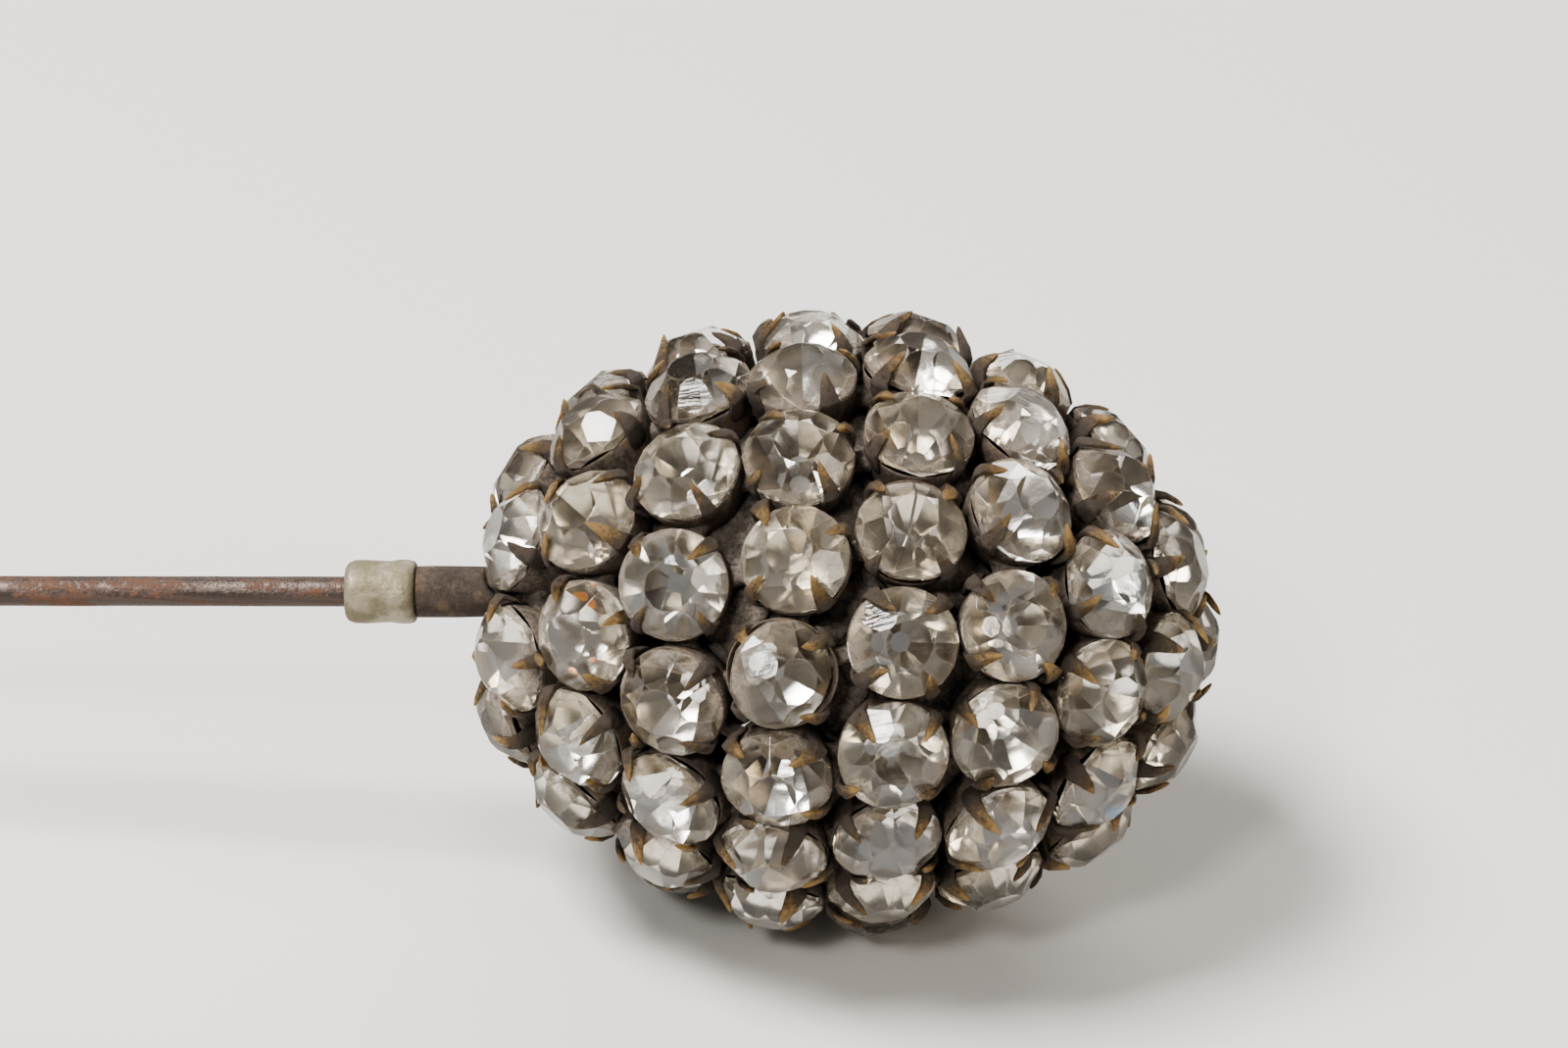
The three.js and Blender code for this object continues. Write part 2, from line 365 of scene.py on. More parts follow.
def cut_facets(stone, count, start, tilt, radius, level):
    """Cuts flats evenly round the stone. Each passes through this radius and level and leans by tilt."""
    for k in range(count):
        turn = math.radians(start + 360.0 * k / count)
        lean = math.radians(tilt)
        face = Vector((math.sin(lean) * math.cos(turn), math.sin(lean) * math.sin(turn), math.cos(lean)))
        point = Vector((radius * math.cos(turn), radius * math.sin(turn), level))
        everything = stone.verts[:] + stone.edges[:] + stone.faces[:]
        cut = bmesh.ops.bisect_plane(
            stone, geom=everything, plane_co=point, plane_no=face, dist=TOUCHING, clear_outer=True
        )
        rim = [part for part in cut["geom_cut"] if isinstance(part, bmesh.types.BMEdge)]
        bmesh.ops.holes_fill(stone, edges=rim, sides=0)


def cut_stone():
    stone = bmesh.new()
    blank_height = TABLE_LEVEL - CULET_LEVEL
    bmesh.ops.create_cone(
        stone, cap_ends=True, segments=BLANK_SIDES, radius1=GIRDLE, radius2=GIRDLE, depth=blank_height,
        matrix=Matrix.Translation((0, 0, CULET_LEVEL + blank_height / 2)),
    )
    for facets in (BROAD_CROWN, ROUND_THE_TABLE, ALONG_THE_EDGE, POINTED_BACK):
        cut_facets(stone, *facets)
    bmesh.ops.remove_doubles(stone, verts=stone.verts[:], dist=SLIVER)
    bmesh.ops.dissolve_degenerate(stone, edges=stone.edges[:], dist=SLIVER)
    bmesh.ops.recalc_face_normals(stone, faces=stone.faces[:])
    return stone


plain_stone = cut_stone()
print("facets on one stone:", len(plain_stone.faces))

# %% [markdown]
# Old glass is rubbed at its ridges. A narrow bevel on the ridges of the crown gives the light an edge to run
# along. The back keeps its sharp ridges, because they are under the foil and are only seen through the glass.

# %% Rub the ridges and foil the back
GLASS, FOIL = 0, 1
RUBBED_WIDTH = 0.022
# A facet carries foil if its normal points down by more than this.
FOILED_BELOW = -0.2


def rub_ridges(stone):
    crown = [edge for edge in stone.edges if all(vert.co.z > 0.0 for vert in edge.verts)]
    bmesh.ops.bevel(
        stone, geom=crown, offset=RUBBED_WIDTH, offset_type="OFFSET", affect="EDGES",
        segments=1, profile=0.5, material=-1, clamp_overlap=True,
    )


rub_ridges(plain_stone)
for facet in plain_stone.faces:
    facet.material_index = FOIL if facet.normal.z < FOILED_BELOW else GLASS
foiled = [facet for facet in plain_stone.faces if facet.material_index == FOIL]
print("facets after rubbing:", len(plain_stone.faces), "foiled:", len(foiled))

# %% [markdown]
# ## Glass and foil
# The glass is clear but a century old: a film of dust and fine scratches softens it, thickest in the corners by
# the claws. The foil behind it is what shines. It has kept its silver on some facets and gone brown on others, so
# every facet carries a tone of its own, and cloudy tarnish runs across them. Cut glass splits light into colours,
# which a renderer leaves out, so a few stones have one facet whose foil has small painted glints of blue or
# orange
# instead: colour painted into the foil that stands in for that split light.
#
# The stones carry four numbers for this. `tone` is how clean a facet is, a colour number picks the hue of its
# painted glints, `ridge` marks the rubbed edges, and `grime` grows towards the edge of the stone.


# %% Glass
def old_glass():
    pale_powder, brown_powder, crust = (0.46, 0.395, 0.315), (0.23, 0.185, 0.14), (0.075, 0.058, 0.044)
    glass = Finish("old_glass")
    film = glass.noise(0.0011, detail=4.0, roughness=0.62)
    specks = glass.noise(0.00022, detail=3.0, roughness=0.7)
    grime = glass.painted("grime")
    facet_fog = 1 - glass.painted("tone")
    dusty = glass.step(film * 0.55 + grime * 0.70 + facet_fog * 0.24, 0.50, 1.15)
    scratches = glass.noise(0.00035, detail=2.0, stretch=(4.0, 0.35, 1.6))
    clear = glass.surface(
        base_color=(0.985, 0.975, 0.955),
        roughness=0.015 + glass.step(film, 0.35, 0.8) * 0.10 + facet_fog * 0.08,
        transmission_weight=1.0,
        ior=1.52,
        normal=glass.bump(scratches + specks * 0.5, 0.00001, 0.3),
    )
    dirty_edge = glass.step(grime + (film - 0.5) * 0.5, 0.62, 0.98)
    powder = glass.mixed(pale_powder, brown_powder, specks)
    dust = glass.surface(base_color=glass.mixed(powder, crust, dirty_edge), roughness=0.9)
    grains = 0.3 + glass.step(specks, 0.35, 0.7) * 0.7
    cover = dusty * grains * 0.8 + facet_fog * 0.14 + glass.painted("ridge") * 0.3 + dirty_edge * 0.55
    return glass.done(glass.node("MixShader", {}, {0: cover, 1: clear, 2: dust}))


GLASS_FINISH = old_glass()
print("made", GLASS_FINISH.name)

# %% Foil
# The two values of a facet's painted glint colour, and the colours of the painted glints that they stand for.
BLUE, ORANGE = 0.3, 0.7
PAINTED_BLUE_GLINT, PAINTED_ORANGE_GLINT = (0.10, 0.42, 1.0), (1.0, 0.42, 0.10)


def tarnished_foil():
    foil = Finish("tarnished_foil")
    clouds = foil.noise(0.0009, detail=4.0, roughness=0.6)
    tone = foil.painted("tone") * 0.72 + clouds * 0.42
    color = foil.ramp(tone, [
        (0.20, (0.06, 0.045, 0.034)),
        (0.40, (0.34, 0.285, 0.21)),
        (0.60, (0.72, 0.655, 0.54)),
        (0.85, (0.96, 0.945, 0.91)),
    ])
    wrinkles = foil.noise(0.0006, detail=2.0)
    # Painted glints: on a facet with a colour number, small spots of the foil turn blue or orange, a colour that
    # stands in for light split by the glass.
    fire = foil.painted("fire")
    painted_glint_hue = foil.ramp(fire, [(BLUE, PAINTED_BLUE_GLINT), (ORANGE, PAINTED_ORANGE_GLINT)])
    painted_glint_spots = foil.step(fire, 0.05, 0.1) * foil.step(foil.noise(0.0008, detail=0.0), 0.55, 0.62)
    return foil.done(foil.surface(
        base_color=foil.mixed(color, painted_glint_hue, painted_glint_spots),
        metallic=1.0,
        roughness=0.34 - tone * 0.24,
        normal=foil.bump(wrinkles, 0.00003, 0.25),
    ))


FOIL_FINISH = tarnished_foil()
print("made", FOIL_FINISH.name)

# %% [markdown]
# No two stones are alike, so chance gives each facet its numbers. The seed of the dice is fixed, and the same
# stones come out each time.

# %% Tone, fire, ridges and grime
# A facet of the crown smaller than this, in square mm, is a rubbed ridge. No facet of the crown is duller than
# this tone.
RIDGE_AREA = 0.02
DULLEST_CROWN = 0.45

chance = random.Random(41)


def paint_stone(stone, painted_glint_hue):
    """Gives each facet its tone and one facet of the back its painted glint colour, frosts the ridges, and lays
    grime on the crown towards its edge.
    """
    tone, fire, ridge = (stone.faces.layers.float.new(name) for name in ("tone", "fire", "ridge"))
    grime = stone.verts.layers.float.new("grime")
    age = chance.uniform(-0.12, 0.14)
    for facet in stone.faces:
        dullest = DULLEST_CROWN if facet.material_index == GLASS else 0.0
        facet[tone] = min(1.0, max(dullest, chance.betavariate(1.7, 1.0) + age))
        facet[ridge] = float(facet.material_index == GLASS and facet.calc_area() < RIDGE_AREA)
    chance.choice([facet for facet in stone.faces if facet.material_index == FOIL])[fire] = painted_glint_hue
    for vert in stone.verts:
        edge = min(1.0, math.hypot(vert.co.x, vert.co.y) / GIRDLE)
        vert[grime] = edge**3 * chance.uniform(0.5, 1.0)


ridges = [f for f in plain_stone.faces if f.material_index == GLASS and f.calc_area() < RIDGE_AREA]
print("rubbed ridges on one stone:", len(ridges))

# %% [markdown]
# A stone is turned, tipped and sunk a little in its cup, as hand-set stones are, and one in a dozen sits badly.
# One stone has slipped right over. Another is cracked: the crack is a narrow groove, black with dirt.

# %% Seats and the crack
# Tilts in degrees, and the share of the other stones that sit badly.
SLIPPED_BY = 30.0
USUAL_TILT = 2.6
BAD_TILT = (7.0, 11.0)
SIT_BADLY = 0.08
# The crack: the direction across it, its distance from the stone's middle, its half-width and its depth, and the
# level that it stays above, in mm.
CRACK_ACROSS = Vector((0.55, 0.80, 0.25)).normalized()
CRACK_ASIDE = 0.35
CRACK_HALF_WIDTH = 0.05
CRACK_DEPTH = 0.12
CRACK_ABOVE = 0.15


def stone_seat(slipped):
    """How one stone sits in its cup: spun, tipped and sunk."""
    tip = abs(chance.gauss(0.0, USUAL_TILT)) if chance.random() > SIT_BADLY else chance.uniform(*BAD_TILT)
    toward = chance.uniform(0.0, 2 * math.pi)
    if slipped:
        tip, toward = SLIPPED_BY, 0.0
    lean = Matrix.Rotation(math.radians(tip), 4, Vector((math.cos(toward), math.sin(toward), 0.0)))
    sunk = Matrix.Translation((0.0, 0.0, chance.uniform(-0.08, 0.04)))
    spin = Matrix.Rotation(chance.uniform(0.0, math.pi / 4), 4, "Z")
    width = chance.uniform(0.98, 1.0)
    return sunk @ lean @ spin @ Matrix.Diagonal((width, width, chance.uniform(0.93, 1.04), 1.0))


def crack(stone):
    """Opens a dirty groove across the crown: three cuts side by side, the last and middle one pushed in."""
    grime = stone.verts.layers.float["grime"]
    for side in (-1, 1, 0):
        everything = stone.verts[:] + stone.edges[:] + stone.faces[:]
        spot = CRACK_ACROSS * (CRACK_ASIDE + side * CRACK_HALF_WIDTH)
        cut = bmesh.ops.bisect_plane(stone, geom=everything, plane_co=spot, plane_no=CRACK_ACROSS, dist=TOUCHING)
    for vert in cut["geom_cut"]:
        if isinstance(vert, bmesh.types.BMVert) and vert.co.z > CRACK_ABOVE:
            vert.co.z -= CRACK_DEPTH
            vert[grime] = 1.0


print("the crack is", 2 * CRACK_HALF_WIDTH, "mm wide and", CRACK_DEPTH, "mm deep")

# %% [markdown]
# Every stone is its own piece. The measured frame has one node for each stone in some rings and one node for all
# the stones of a ring in others, so each piece says which node it replaces.

# %% Set the stones
# Some stones are named by their ring and their place in it: those with one facet of painted glints, the one that
# has slipped and the one that is cracked.
STONES_WITH_PAINTED_FIRE = {
    (8, 1): BLUE, (7, 0): ORANGE, (5, 14): ORANGE, (4, 3): ORANGE, (2, 10): BLUE, (2, 3): ORANGE, (6, 6): BLUE,
    (3, 7): ORANGE, (1, 4): BLUE,
}
SLIPPED_STONE = (5, 0)
CRACKED_STONE = (4, 1)


def add_piece(name, mesh, finishes, slot, *nodes):
    """Makes a piece of the pin from a mesh, in place of these nodes of the frame."""
    data = bpy.data.meshes.new(name)
    mesh.to_mesh(data)
    mesh.free()
    for finish in finishes:
        data.materials.append(finish)
    piece = bpy.data.objects.new(name, data)
    bpy.context.scene.collection.objects.link(piece)
    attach(piece, "root")
    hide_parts(*nodes)
    return piece


def cad_node_of(ring, step):
    """The frame's node for a stone. Some rings have one node for all their stones."""
    if ring.index == 0:
        return "tip_stone"
    whole_row = f"stones_row_{ring.index}"
    return whole_row if whole_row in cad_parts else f"stone_row_{ring.index}_{step + 1}"


for ring in rings:
    for step in range(ring.count):
        which = (ring.index, step)
        stone = plain_stone.copy()
        paint_stone(stone, STONES_WITH_PAINTED_FIRE.get(which, 0.0))
        if which == CRACKED_STONE:
            crack(stone)
        seat = stone_seat(slipped=which == SLIPPED_STONE)
        bmesh.ops.transform(stone, matrix=ring.setting(step) @ seat, verts=stone.verts[:])
        name = f"stone_{ring.index}_{step + 1}"
        add_piece(name, stone, (GLASS_FINISH, FOIL_FINISH), "glass", cad_node_of(ring, step))

# %% [markdown]
# ## Brass, grime and solder
# The cups are brass. Where cloth has rubbed them, on the claws' points and backs, they are golden. Deep down
# they are nearly black, and felted with dust. Each claw carries a number that rises from its foot to its point,
# and the finish mixes dust, tarnish and clean brass by it, with noise to break the border up.


# %% Claw brass
def claw_brass():
    dark_brass, bright_brass, packed_dust = (0.034, 0.022, 0.012), (0.30, 0.20, 0.095), (0.060, 0.046, 0.036)
    brass = Finish("claw_brass")
    patches = brass.noise(0.0006, detail=4.0, roughness=0.65)
    specks = brass.noise(0.00024, detail=6.0, roughness=0.85)
    rise = brass.painted("rise")
    worn = brass.step(rise * 0.8 + patches * 0.9 - specks * 0.5, 0.40, 1.05)
    metal = brass.mixed(dark_brass, bright_brass, worn)
    dust = brass.step(specks * 1.6 + patches * 0.5 - rise * 0.65, 0.54, 0.80)
    return brass.done(brass.surface(
        base_color=brass.mixed(metal, packed_dust, dust),
        metallic=1.0 - dust * 0.85,
        roughness=0.27 + dust * 0.55 + specks * 0.2,
        normal=brass.bump(specks * 1.5 + patches * 0.8, 0.00006, 1.0),
    ))


CLAW_FINISH = claw_brass()
print("made", CLAW_FINISH.name)


# %% Dusty cups and solder
def dusty_metal(name, dark, light, bare, metal_share, depth):
    """Metal under dust that is dark and light in turns, with this share of bare metal on its high parts."""
    finish = Finish(name)
    lumps = finish.noise(0.0008, detail=5.0, roughness=0.65)
    felt = finish.noise(0.00018, detail=5.0, roughness=0.8)
    rubbed = finish.step(lumps, 0.52, 0.70)
    dusty = finish.mixed(dark, light, finish.step(felt * 0.6 + lumps * 0.4, 0.36, 0.66))
    return finish.done(finish.surface(
        base_color=finish.mixed(dusty, bare, rubbed * metal_share),
        metallic=rubbed * metal_share * 0.9,
        roughness=0.86 - rubbed * (0.4 * metal_share),
        normal=finish.bump(felt * 1.4 + lumps * 1.5, depth, 1.0),
    ))


CUP_FINISH = dusty_metal(
    "dusty_cup", dark=(0.042, 0.031, 0.024), light=(0.20, 0.16, 0.125), bare=(0.19, 0.125, 0.06),
    metal_share=0.6, depth=0.00005,
)
SOLDER_FINISH = dusty_metal(
    "dusty_solder", dark=(0.055, 0.044, 0.036), light=(0.27, 0.225, 0.185), bare=(0.2, 0.17, 0.13),
    metal_share=0.35, depth=0.00009,
)
print("made", CUP_FINISH.name, "and", SOLDER_FINISH.name)

# %% [markdown]
# ## Cups, claws and solder
# A cup is stamped from thin sheet: a cone with a rim just under the stone's edge. `spin` sweeps its outline
# round. A claw is a strip cut from the same sheet, so it starts as one small face that is extruded five times.
# Each length follows the bend over the stone and tapers towards the point. Solder runs between neighbours as a
# waist of metal, wide at each cup and thin between.
#
# One level of subdivision rounds the finished rings. The claws' lengthwise edges are creased, so they stay crisp.

# %% One cup
# In a ring's list of finishes the cups come first, as 0, then these.
CLAW, SOLDER = 1, 2
CUP_SIDES = 24
CUP_OUTLINE = [
    (0.30, -2.02), (1.42, -2.04), (1.53, -1.94), (1.88, -0.90), (1.99, -0.30), (1.98, -0.20),
    (1.91, -0.21), (1.77, -0.90), (1.40, -1.86), (0.30, -1.90),
]


def turned(outline, segments):
    """Spins a closed outline of (radius, level) points about Z."""
    mesh = bmesh.new()
    corners = [mesh.verts.new((radius, 0.0, level)) for radius, level in outline]
    edges = [mesh.edges.new((a, b)) for a, b in zip(corners, corners[1:] + corners[:1])]
    bmesh.ops.spin(
        mesh, geom=corners + edges, cent=(0, 0, 0), axis=(0, 0, 1), angle=2 * math.pi,
        steps=segments, use_merge=True,
    )
    bmesh.ops.remove_doubles(mesh, verts=mesh.verts[:], dist=TOUCHING)
    bmesh.ops.recalc_face_normals(mesh, faces=mesh.faces[:])
    for face in mesh.faces:
        face.smooth = True
    return mesh


plain_cup = turned(CUP_OUTLINE, CUP_SIDES)
print("faces on one cup:", len(plain_cup.faces))

# %% One claw
# The section of a claw, flat towards the stone and crested outside, one wide and one thick.
CLAW_SECTION = [(-0.5, -0.5, 0.0), (-0.5, 0.5, 0.0), (0.3, 0.5, 0.0), (0.75, 0.0, 0.0), (0.3, -0.5, 0.0)]
# Each station of a claw: distance from the stone's middle, level, width, thickness and how far it may stand off.
CLAW_LENGTHS = [
    (1.76, -1.00, 0.96, 0.15, 0.0),
    (1.96, -0.35, 0.88, 0.17, 0.75),
    (2.07, 0.06, 0.74, 0.18, 1.0),
    (1.92, 0.38, 0.56, 0.18, 0.6),
    (1.63, 0.62, 0.36, 0.16, 0.2),
    (1.34, 0.83, 0.08, 0.09, 0.0),
]
LAST_LENGTH = len(CLAW_LENGTHS) - 1
CLAW_CREASE = 0.8
# The share of a claw, from its foot up, that is the same on every claw.
ALIKE = 0.4
# A claw that reaches farther climbs the crown by this share of its reach.
CLIMB = 0.85


def claw_station(k, reach, lift, skew, stand):
    """The matrix that carries the claw's section to its k-th station, sized and turned to follow the bend."""
    bends = [max(0.0, n / LAST_LENGTH - ALIKE) / (1.0 - ALIKE) for n in range(len(CLAW_LENGTHS))]
    middles = [
        Vector((radius - reach * bent + stand * off, skew * bent**2, level + (lift + CLIMB * reach) * bent))
        for bent, (radius, level, _, _, off) in zip(bends, CLAW_LENGTHS)
    ]
    run = (middles[min(k + 1, LAST_LENGTH)] - middles[max(k - 1, 0)]).normalized()
    side = Vector((0.0, 1.0, 0.0))
    outward = side.cross(run).normalized()
    turn = Matrix((outward, run.cross(outward), run)).transposed().to_4x4()
    width, thickness = CLAW_LENGTHS[k][2:4]
    return Matrix.Translation(middles[k]) @ turn @ Matrix.Diagonal((thickness, width, 1.0, 1.0))


def bent_claw(wear, *bend):
    """A claw along +X, as worn as this. The bend is its reach over the stone, its lift, skew and stand-off."""
    claw = bmesh.new()
    rise = claw.verts.layers.float.new("rise")
    crease = claw.edges.layers.float.new("crease_edge")
    section = [claw.verts.new(corner) for corner in CLAW_SECTION]
    end = claw.faces.new(section)
    last = claw_station(0, *bend)
    bmesh.ops.transform(claw, matrix=last, verts=section)
    for k in range(1, len(CLAW_LENGTHS)):
        grown = bmesh.ops.extrude_face_region(claw, geom=[end], use_keep_orig=k == 1)["geom"]
        section = [part for part in grown if isinstance(part, bmesh.types.BMVert)]
        end = next(part for part in grown if isinstance(part, bmesh.types.BMFace))
        station = claw_station(k, *bend)
        bmesh.ops.transform(claw, matrix=station @ last.inverted(), verts=section)
        last = station
        for vert in section:
            vert[rise] = wear * k / LAST_LENGTH
    bmesh.ops.recalc_face_normals(claw, faces=claw.faces[:])
    for edge in claw.edges:
        if edge.verts[0][rise] != edge.verts[1][rise]:
            edge[crease] = CLAW_CREASE
            edge.smooth = False
    for face in claw.faces:
        face.smooth = True
        face.material_index = CLAW
    return claw


print("faces on one claw:", len(bent_claw(1.0, 0.0, 0.0, 0.0, 0.0).faces))

# %% One waist of solder
# How much of its width and of its height a waist loses in the middle.
WAIST_NARROWS, WAIST_THINS = 0.40, 0.30


def solder_waist():
    """A bridge along X between -1 and 1, wide at its ends and narrow in the middle."""
    waist = bmesh.new()
    bmesh.ops.create_cube(waist, size=2.0, matrix=Matrix.Diagonal((1.0, 0.5, 0.5, 1.0)))
    lengthwise = [e for e in waist.edges if abs(e.verts[0].co.x - e.verts[1].co.x) > 0.5]
    bmesh.ops.subdivide_edges(waist, edges=lengthwise, cuts=3)
    crosswise = [e for e in waist.edges if abs(e.verts[0].co.y - e.verts[1].co.y) > 0.5]
    bmesh.ops.subdivide_edges(waist, edges=crosswise, cuts=2, use_grid_fill=True)
    for vert in waist.verts:
        thin = 1.0 - min(1.0, abs(vert.co.x))
        vert.co.y *= 1.0 - WAIST_NARROWS * thin
        vert.co.z *= 1.0 - WAIST_THINS * thin
    bmesh.ops.recalc_face_normals(waist, faces=waist.faces[:])
    for face in waist.faces:
        face.smooth = True
        face.material_index = SOLDER
    return waist


plain_waist = solder_waist()
print("faces on one waist of solder:", len(plain_waist.faces))

# %% Put the claws on a cup
CLAWS_ON_A_CUP = 4
# The share of claws that stand off the stone, by these distances in mm, and the distances of the rest.
STAND_OFF = 0.25
FAR_OFF, CLOSE_ON = (0.12, 0.30), (0.0, 0.06)


def add_copy(whole, part, matrix):
    """Joins a copy of one mesh into another, moved by the matrix."""
    data = bpy.data.meshes.new("copy")
    part.to_mesh(data)
    data.transform(matrix)
    whole.from_mesh(data)
    bpy.data.meshes.remove(data)


def empty_setting():
    """An empty mesh that keeps the claws' rise and crease when copies are joined into it."""
    mesh = bmesh.new()
    mesh.verts.layers.float.new("rise")
    mesh.edges.layers.float.new("crease_edge")
    return mesh


def chance_bend():
    """The reach, lift, skew and stand-off of one claw, as folded by hand."""
    stand = chance.uniform(*FAR_OFF) if chance.random() < STAND_OFF else chance.uniform(*CLOSE_ON)
    return chance.gauss(0.02, 0.17), abs(chance.gauss(0.02, 0.06)), chance.gauss(0.0, 0.22), stand


def cup_with_claws():
    """One cup and its claws, each folded and worn in its own way."""
    cup = empty_setting()
    add_copy(cup, plain_cup, Matrix.Identity(4))
    spin = chance.gauss(0.0, 10.0)
    for k in range(CLAWS_ON_A_CUP):
        claw = bent_claw(chance.triangular(0.4, 1.25, 1.0), *chance_bend())
        turn = Matrix.Rotation(math.radians(45 + 90 * k + spin + chance.gauss(0.0, 5.0)), 4, "Z")
        width = Matrix.Diagonal((1.0, chance.uniform(0.72, 1.08), 1.0, 1.0))
        add_copy(cup, claw, turn @ width)
        claw.free()
    return cup


print("claws on the pin:", CLAWS_ON_A_CUP * sum(ring.count for ring in rings))

# %% [markdown]
# A cup is soldered to its two neighbours in the ring and to the nearest cups of the next ring. Where two cups
# stand farther apart, a lower and wider web of solder joins their feet. The webs are partly solder and partly a
# sheet
# standing in for shade: they close gaps that would show the floor through the head.

# %% Solder the cups into rings
# A waist starts this far from a cup's middle, and no half of one is shorter than this, in mm.
CUP_HOLD = 1.45
SHORTEST_HALF = 0.25
# Levels of the waists and of the webs in a cup, and the farthest cups that each of them joins, in mm.
SOLDER_LEVEL = -0.90
WEB_LEVEL = -1.55
FARTHEST_SOLDERED = 4.7
# The webs reach this far to shut the gaps into the head: partly solder, partly a sheet standing in for shade.
FARTHEST_WEBBED = 7.0
# Widths and heights in mm. A waist to the next ring is narrower the farther it goes.
WAIST_IN_RING = ((1.6, 2.0), (0.9, 1.1))
WIDEST_WAIST = 1.5
NARROWER_BY = 0.9
WAIST_HEIGHT = 0.75
WEB_WIDTH = (2.4, 2.9)
WEB_HEIGHT = 0.45
# The unevenness of a ring and the size of its bumps, in metres. The noise that makes them has a seed, because it
# would start from the clock without one.
UNEVEN, UNEVEN_SIZE = 0.00004, 0.0011
noise.seed_set(3)


def between(here, there, width, height, level=SOLDER_LEVEL):
    """The matrix that lays a waist of solder between two settings."""
    start, end = (setting @ Vector((0.0, 0.0, level)) for setting in (here, there))
    run = (end - start).normalized()
    outward = here.col[2].xyz + there.col[2].xyz
    side = outward.cross(run).normalized()
    turn = Matrix((run, side, run.cross(side))).transposed().to_4x4()
    half = max(SHORTEST_HALF, (end - start).length / MM / 2 - CUP_HOLD)
    sizes = Matrix.Diagonal((half * MM, width * MM, height * MM, 1.0))
    return Matrix.Translation((start + end) / 2) @ turn @ sizes


def solder_to_next_ring(row, ring, next_ring):
    """Solders each cup to the nearest cups of the next ring, and webs the feet of those a little farther off,
    partly as solder and partly as a sheet standing in for shade.
    """
    for step in range(ring.count):
        here = ring.setting(step)
        for other in range(next_ring.count):
            there = next_ring.setting(other)
            apart = (here.translation - there.translation).length / MM
            if apart < FARTHEST_SOLDERED:
                width = WIDEST_WAIST - NARROWER_BY * (apart - STONE_PITCH)
                waist = between(here, there, width * chance.uniform(0.8, 1.1), WAIST_HEIGHT)
                add_copy(row, plain_waist, waist)
            elif apart < FARTHEST_WEBBED:
                solder_and_shade_web = between(here, there, chance.uniform(*WEB_WIDTH), WEB_HEIGHT, WEB_LEVEL)
                add_copy(row, plain_waist, solder_and_shade_web)


def ruffle(mesh, amount, size):
    """Moves every point a little, by smooth noise, so that nothing is perfectly round."""
    for vert in mesh.verts:
        vert.co += noise.noise_vector(vert.co / size) * amount


for ring in rings:
    row = empty_setting()
    if ring.index + 1 < len(rings):
        solder_to_next_ring(row, ring, rings[ring.index + 1])
    for step in range(ring.count):
        cup = cup_with_claws()
        add_copy(row, cup, ring.setting(step))
        cup.free()
        if ring.count > 1:
            width, height = (chance.uniform(*limits) for limits in WAIST_IN_RING)
            add_copy(row, plain_waist, between(ring.setting(step), ring.setting(step + 1), width, height))
    ruffle(row, UNEVEN, UNEVEN_SIZE)
    node = "tip_cup" if ring.index == 0 else f"cups_row_{ring.index}"
    piece = add_piece("setting_" + node, row, (CUP_FINISH, CLAW_FINISH, SOLDER_FINISH), "brass", node)
    rounding = piece.modifiers.new("rounding", "SUBSURF")
    rounding.levels = rounding.render_levels = 1
print("rings of cups:", len(rings))

# %% [markdown]
# ## Dish, neck, collar and stem
# The dish closes the stem end of the egg. The neck tube, the collar and the stem share an axis that drops from
# the dish until the point lies on the table. Their parts in the frame give that axis, and each is turned from an
# outline along it, with more sides than the measured solid has.

# %% The stem's axis
# Where the axis leaves the dish, from the middle of the head, and the radius that the point is ground to, in mm.
DISH_CENTRE = -10.5
NECK_RISE = 0.35
POINT_RADIUS = 0.06
stem_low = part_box("stem")[0]
BEND_AT = HEAD + Vector((DISH_CENTRE, 0.0, NECK_RISE)) * MM
run_back = BEND_AT.x - stem_low.x
drop = BEND_AT.z - POINT_RADIUS * MM
BEND = math.atan2(drop, run_back)
POINT_DISTANCE = math.hypot(run_back, drop) / MM
down_stem = Matrix.Rotation(-BEND, 4, "Y") @ Matrix.Rotation(-math.pi / 2, 4, "Y")
ALONG_STEM = Matrix.Translation(BEND_AT) @ down_stem @ Matrix.Scale(MM, 4)
print("bend:", round(math.degrees(BEND), 2), "degrees; dish to point:", round(POINT_DISTANCE, 2), "mm")

# %% [markdown]
# The stem is drawn steel, brown with age, with freckles of rust and paler rubbed lengths between them. The
# collar is pale, like old solder, and greenish in its hollows. The neck and the dish are dark brass.


# %% Finishes of the stem end
def rusty_steel():
    dark_steel, rubbed_steel = (0.052, 0.040, 0.035), (0.125, 0.102, 0.092)
    dark_rust, bright_rust = (0.08, 0.032, 0.016), (0.165, 0.07, 0.035)
    steel = Finish("rusty_steel")
    patches = steel.noise(0.0028, detail=5.0, roughness=0.62, stretch=(2.2, 0.6, 0.6))
    pits = steel.noise(0.00022, detail=3.0, roughness=0.7)
    drawn = steel.noise(0.0005, detail=2.0, stretch=(14.0, 0.3, 0.3))
    rust = steel.step(patches * 0.8 + pits * 0.3, 0.53, 0.66)
    bare = steel.mixed(dark_steel, rubbed_steel, drawn)
    brown = steel.mixed(dark_rust, bright_rust, pits)
    return steel.done(steel.surface(
        base_color=steel.mixed(bare, brown, rust * 0.85),
        metallic=1.0 - rust * 0.8,
        roughness=0.42 + rust * 0.38 + pits * 0.1,
        normal=steel.bump(pits + rust * 0.5, 0.00004, 0.8),
    ))


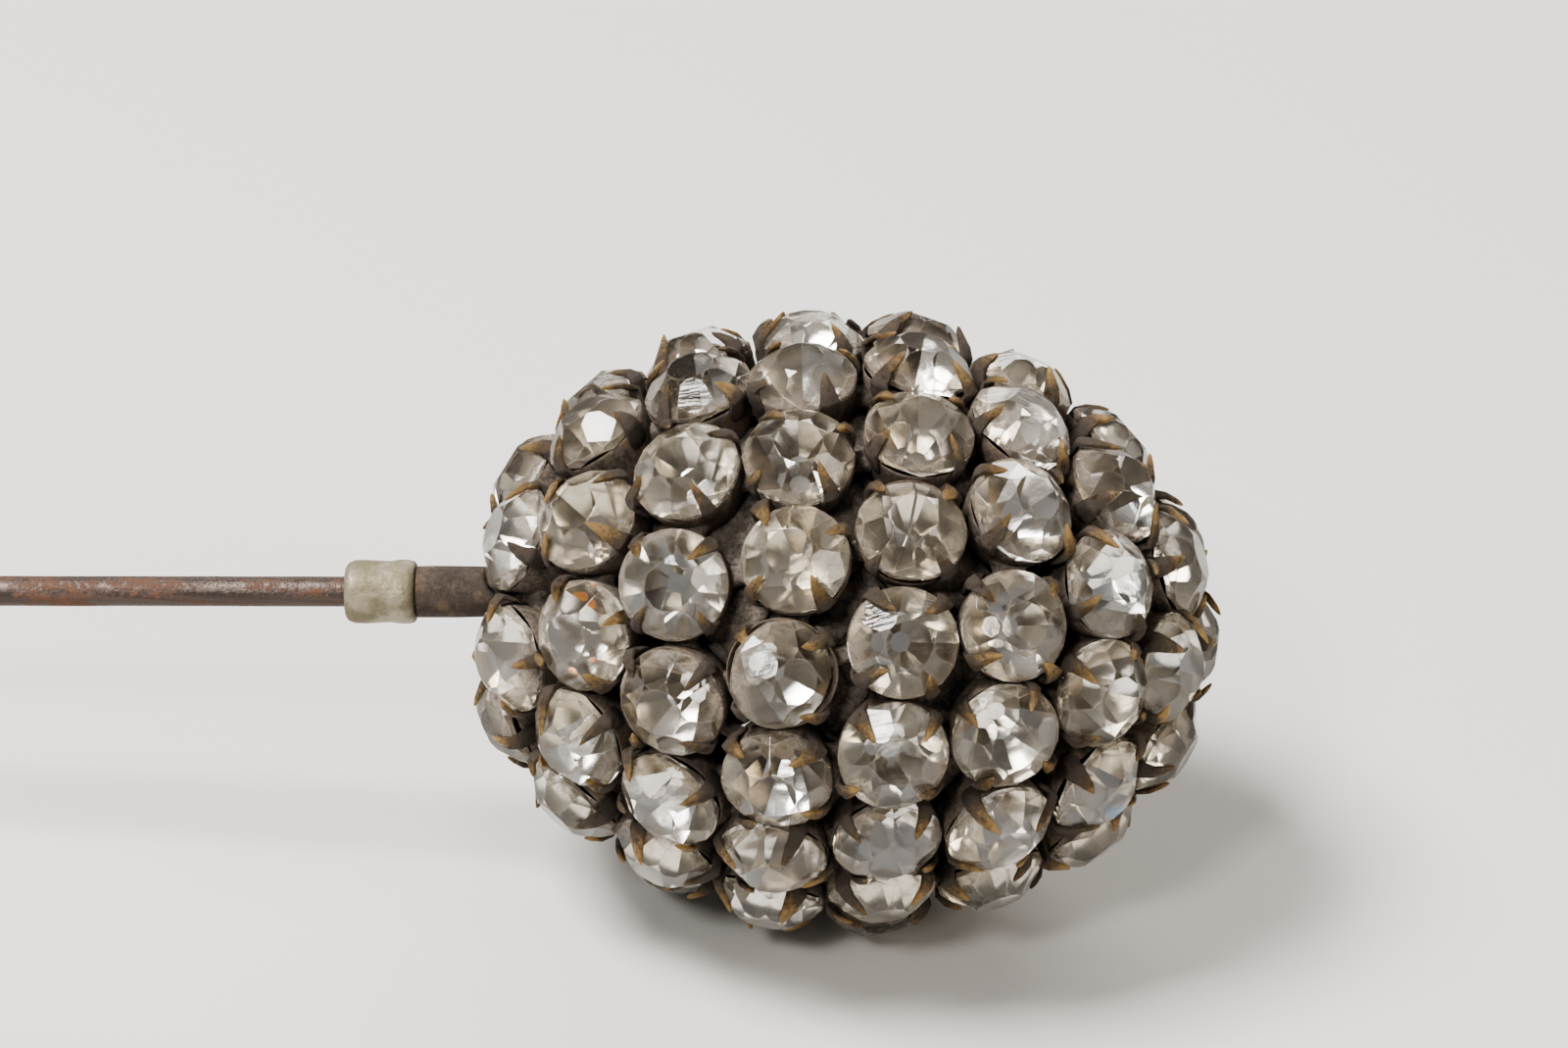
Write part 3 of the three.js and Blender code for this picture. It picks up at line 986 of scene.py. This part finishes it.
def pale_solder():
    greenish, bright, dirt = (0.165, 0.142, 0.088), (0.32, 0.28, 0.212), (0.13, 0.105, 0.07)
    pale = Finish("pale_collar")
    clouds = pale.noise(0.0011, detail=4.0, roughness=0.6)
    grain = pale.noise(0.00018, detail=3.0, roughness=0.7)
    rubbed = pale.step(clouds, 0.40, 0.66)
    aged = pale.mixed(greenish, bright, rubbed)
    return pale.done(pale.surface(
        base_color=pale.mixed(aged, dirt, pale.step(grain, 0.56, 0.8) * 0.7),
        metallic=0.35 + rubbed * 0.35,
        roughness=0.62 - rubbed * 0.18,
        normal=pale.bump(grain + clouds, 0.00006, 0.8),
    ))


STEEL_FINISH = rusty_steel()
COLLAR_FINISH = pale_solder()
NECK_FINISH = dusty_metal(
    "dark_neck", dark=(0.03, 0.02, 0.014), light=(0.085, 0.062, 0.047), bare=(0.15, 0.10, 0.06),
    metal_share=0.8, depth=0.00004,
)
print("made", STEEL_FINISH.name, COLLAR_FINISH.name, "and", NECK_FINISH.name)

# %% Turn the stem, the collar, the neck and the dish
STEM_START = -0.2
STEM_RADIUS = 0.55
TAPER = 9.0
STEM_LENGTHS, TAPER_LENGTHS = 90, 10
STEM_SIDES, TUBE_SIDES, DISH_SIDES = 24, 32, 40
COLLAR_OUTLINE = [
    (0.63, 4.98), (1.00, 4.98), (1.11, 5.06), (1.165, 5.24), (1.17, 5.60), (1.12, 5.95), (1.14, 6.30),
    (1.165, 6.80), (1.15, 7.22), (1.07, 7.45), (0.94, 7.55), (0.63, 7.57),
]
NECK_OUTLINE = [
    (0.63, -0.17), (0.95, -0.17), (0.95, 1.6), (0.92, 2.4), (0.94, 3.4), (0.95, 4.3), (0.94, 4.90), (0.91, 4.96),
    (0.63, 4.96),
]


# How far apart the hollows of a hammered or rusted surface lie, in mm.
HOLLOWS = 0.9


def stem_outline():
    """Closed outline of the stem: full width to the taper, then a long ground point."""
    shoulder = POINT_DISTANCE - TAPER
    run = shoulder - STEM_START
    straight = [(STEM_RADIUS, STEM_START + run * k / STEM_LENGTHS) for k in range(STEM_LENGTHS + 1)]
    ground = []
    for share in (k / TAPER_LENGTHS for k in range(1, TAPER_LENGTHS + 1)):
        radius = STEM_RADIUS * (1 - share**1.5) + POINT_RADIUS * share**1.5
        ground.append((radius, shoulder + TAPER * share))
    return [(0.0, STEM_START), *straight, *ground, (0.0, POINT_DISTANCE)]


def turned_piece(name, outline, segments, matrix, uneven, finish, slot, node):
    """A piece of the pin turned from its outline, in mm, made a little uneven and carried to its place."""
    mesh = turned(outline, segments)
    ruffle(mesh, uneven, HOLLOWS)
    bmesh.ops.transform(mesh, matrix=matrix, verts=mesh.verts[:])
    return add_piece(name, mesh, (finish,), slot, node)


turned_piece("pin_stem", stem_outline(), STEM_SIDES, ALONG_STEM, 0.012, STEEL_FINISH, "stem_steel", "stem")
turned_piece("pin_collar", COLLAR_OUTLINE, TUBE_SIDES, ALONG_STEM, 0.03, COLLAR_FINISH, "pale_solder", "collar")
turned_piece("pin_neck", NECK_OUTLINE, TUBE_SIDES, ALONG_STEM, 0.02, NECK_FINISH, "dark_brass", "neck_tube")

# %% [markdown]
# The dish shows only in slivers between the last cups. It is a shallow cone of sheet whose rim is rolled over.

# %% Dish
dish_low, dish_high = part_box("base_dish")
DISH_SPREAD = (dish_high.y - dish_low.y) / 2 / MM
DISH_OUTLINE = [
    (1.03, 0.0), (2.2, -0.62), (3.3, -1.24), (DISH_SPREAD - 0.12, -1.58), (DISH_SPREAD, -1.72),
    (DISH_SPREAD - 0.14, -1.92), (3.1, -1.50), (2.1, -0.96), (1.03, -0.35),
]
dish_place = Matrix.Translation((dish_low.x, 0.0, (dish_low.z + dish_high.z) / 2))
DEEP_IN = dish_place @ Matrix.Rotation(-math.pi / 2, 4, "Y") @ Matrix.Scale(MM, 4)
turned_piece("base_dish_sheet", DISH_OUTLINE, DISH_SIDES, DEEP_IN, 0.03, NECK_FINISH, "dark_brass", "base_dish")
print("the dish spreads", round(DISH_SPREAD, 2), "mm from its middle")

# %% [markdown]
# ## The finished pin
